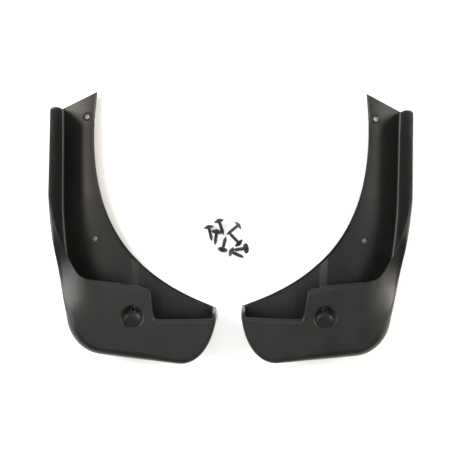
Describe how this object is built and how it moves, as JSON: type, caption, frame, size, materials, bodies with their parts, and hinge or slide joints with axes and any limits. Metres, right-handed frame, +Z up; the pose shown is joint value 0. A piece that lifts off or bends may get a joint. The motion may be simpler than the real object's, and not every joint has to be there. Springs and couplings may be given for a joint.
{
  "type": "mud flap set",
  "caption": "Mirrored pair of moulded car mud flaps with a screw plate, an outer wall, a notched front panel and an access cup, with loose washer-head tapping screws.",
  "frame": {"origin": "middle of the floor under the whole set, which lies on its back", "axes": "+X from the left flap to the right flap, +Y towards the plates' tips, +Z up out of the open side"},
  "size_m": [0.4166, 0.3186, 0.05],
  "materials": {
    "flap_plastic": "satin black moulded polypropylene",
    "screw_steel": "black coated steel, satin"
  },
  "bodies": {
    "left_flap": {"left_flap": "flap_plastic"},
    "right_flap": {"right_flap": "flap_plastic"},
    "screw_1": {"screw_1": "screw_steel"},
    "screw_2": {"screw_2": "screw_steel"},
    "screw_3": {"screw_3": "screw_steel"},
    "screw_4": {"screw_4": "screw_steel"},
    "screw_5": {"screw_5": "screw_steel"},
    "screw_6": {"screw_6": "screw_steel"},
    "screw_7": {"screw_7": "screw_steel"},
    "screw_8": {"screw_8": "screw_steel"}
  },
  "joints": [
    {"name": "right_flap_lift", "type": "slide", "parent": "left_flap", "child": "right_flap", "axis": [0, 0, 1], "range_m": [0, 0.08]},
    {"name": "screw_1_lift", "type": "slide", "parent": "left_flap", "child": "screw_1", "axis": [0, 0, 1], "range_m": [0, 0.06]},
    {"name": "screw_2_lift", "type": "slide", "parent": "screw_3", "child": "screw_2", "axis": [0, 0, 1], "range_m": [0, 0.06]},
    {"name": "screw_3_lift", "type": "slide", "parent": "left_flap", "child": "screw_3", "axis": [0, 0, 1], "range_m": [0, 0.06]},
    {"name": "screw_4_lift", "type": "slide", "parent": "left_flap", "child": "screw_4", "axis": [0, 0, 1], "range_m": [0, 0.06]},
    {"name": "screw_5_lift", "type": "slide", "parent": "screw_6", "child": "screw_5", "axis": [0, 0, 1], "range_m": [0, 0.06]},
    {"name": "screw_6_lift", "type": "slide", "parent": "left_flap", "child": "screw_6", "axis": [0, 0, 1], "range_m": [0, 0.06]},
    {"name": "screw_7_lift", "type": "slide", "parent": "screw_8", "child": "screw_7", "axis": [0, 0, 1], "range_m": [0, 0.06]},
    {"name": "screw_8_lift", "type": "slide", "parent": "left_flap", "child": "screw_8", "axis": [0, 0, 1], "range_m": [0, 0.06]}
  ]
}
